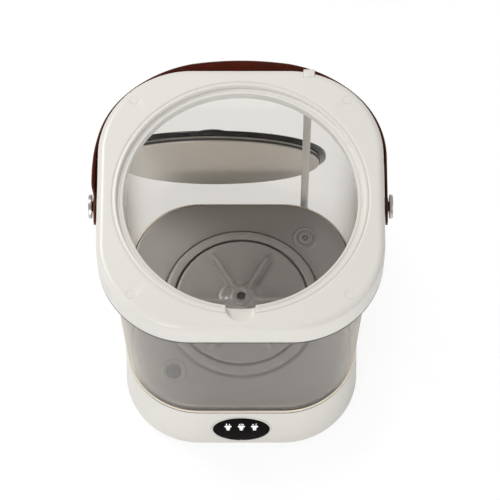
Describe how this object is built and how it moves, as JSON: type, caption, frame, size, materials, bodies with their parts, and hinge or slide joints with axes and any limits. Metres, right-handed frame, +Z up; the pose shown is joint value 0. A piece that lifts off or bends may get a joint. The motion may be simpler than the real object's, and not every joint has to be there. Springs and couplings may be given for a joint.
{
  "type": "portable mini washer",
  "caption": "Small portable washing machine: clear round-cornered tub on a white base, white collar with a finger notch, spinning pulsator, strap handle, drain hose and a round black lid.",
  "frame": {"origin": "on the surface that the feet stand on, on the pulsator's axis, at the middle between the four feet", "axes": "+Z up along the pulsator's axis, -Y to the front with the control panel, +X to the right seen from the front"},
  "size_m": [0.256, 0.2869, 0.3012],
  "materials": {
    "white_shell": "satin gloss moulded white",
    "cream_trim": "satin cream",
    "clear_tub": "clear moulded plastic, smoke tint",
    "smoke_plastic": "satin smoke grey",
    "black_gloss": "high gloss black",
    "black_plastic": "matt black",
    "rubber_grey": "matt",
    "strap_leather": "semi-gloss grained",
    "steel": "brushed",
    "zinc_steel": "zinc plated",
    "nylon": "natural nylon",
    "board_green": "solder mask",
    "hose_clear": "milky silicone"
  },
  "bodies": {
    "root": {"base_shell": "white_shell", "bottom_cover": "white_shell", "rubber_feet": "rubber_grey", "bottom_screws": "zinc_steel", "trim_ring": "cream_trim", "tub_floor": "smoke_plastic", "tub_gasket": "rubber_grey", "tub_wall": "clear_tub", "floor_screws": "zinc_steel", "drain_strainer": "smoke_plastic", "level_sensor": "rubber_grey", "rim_gasket": "rubber_grey", "collar_shell": "white_shell", "collar_screws": "zinc_steel", "screw_caps": "white_shell", "lid_seat_ring": "nylon", "stud_posts": "black_plastic", "stud_heads": "steel", "strap_washers": "nylon", "hose_clip": "white_shell", "hose_plug": "black_plastic", "drain_hose": "hose_clear", "drain_elbow": "smoke_plastic", "drain_tube": "hose_clear", "dc_jack": "black_plastic", "panel_bezel": "steel", "panel_lens": "black_gloss", "touch_spacer": "rubber_grey", "touch_board": "board_green", "control_board": "board_green", "board_parts": "black_plastic", "wire_harness": "black_plastic", "gearbox_housing": "nylon", "gearbox_screws": "zinc_steel", "lower_bearing": "steel", "upper_bearing": "steel", "shaft_seal": "rubber_grey", "motor_can": "zinc_steel", "motor_magnets": "black_plastic", "motor_endcap": "black_plastic", "motor_screws": "zinc_steel"},
    "pulsator": {"pulsator_disc": "smoke_plastic", "hub_cap": "smoke_plastic", "pulsator_screw": "zinc_steel", "pulsator_shaft": "steel", "drive_gear": "nylon", "circlip": "zinc_steel"},
    "rotor": {"motor_shaft": "steel", "rotor_core": "zinc_steel", "pinion_gear": "steel"},
    "handle": {"handle_strap": "strap_leather", "strap_eyelets": "steel"},
    "lid": {"lid_disc": "black_gloss", "lid_liner": "white_shell", "lid_seal": "rubber_grey"}
  },
  "joints": [
    {"name": "pulsator_spin", "type": "hinge", "parent": "root", "child": "pulsator", "pos_m": [0, 0, 0.0824], "axis": [0, 0, 1], "continuous": true},
    {"name": "motor_spin", "type": "hinge", "parent": "root", "child": "rotor", "pos_m": [0, 0.0324, 0.05], "axis": [0, 0, 1], "continuous": true},
    {"name": "handle_swing", "type": "hinge", "parent": "root", "child": "handle", "pos_m": [0, 0, 0.2803], "axis": [1, 0, 0], "range_deg": [0, 180]},
    {"name": "lid_lift", "type": "slide", "parent": "root", "child": "lid", "axis": [0, 0.9659, 0.2588], "range_m": [0, 0.15]}
  ],
  "couplings": [
    {"joint": "motor_spin", "follows": "pulsator_spin", "ratio": -3}
  ]
}
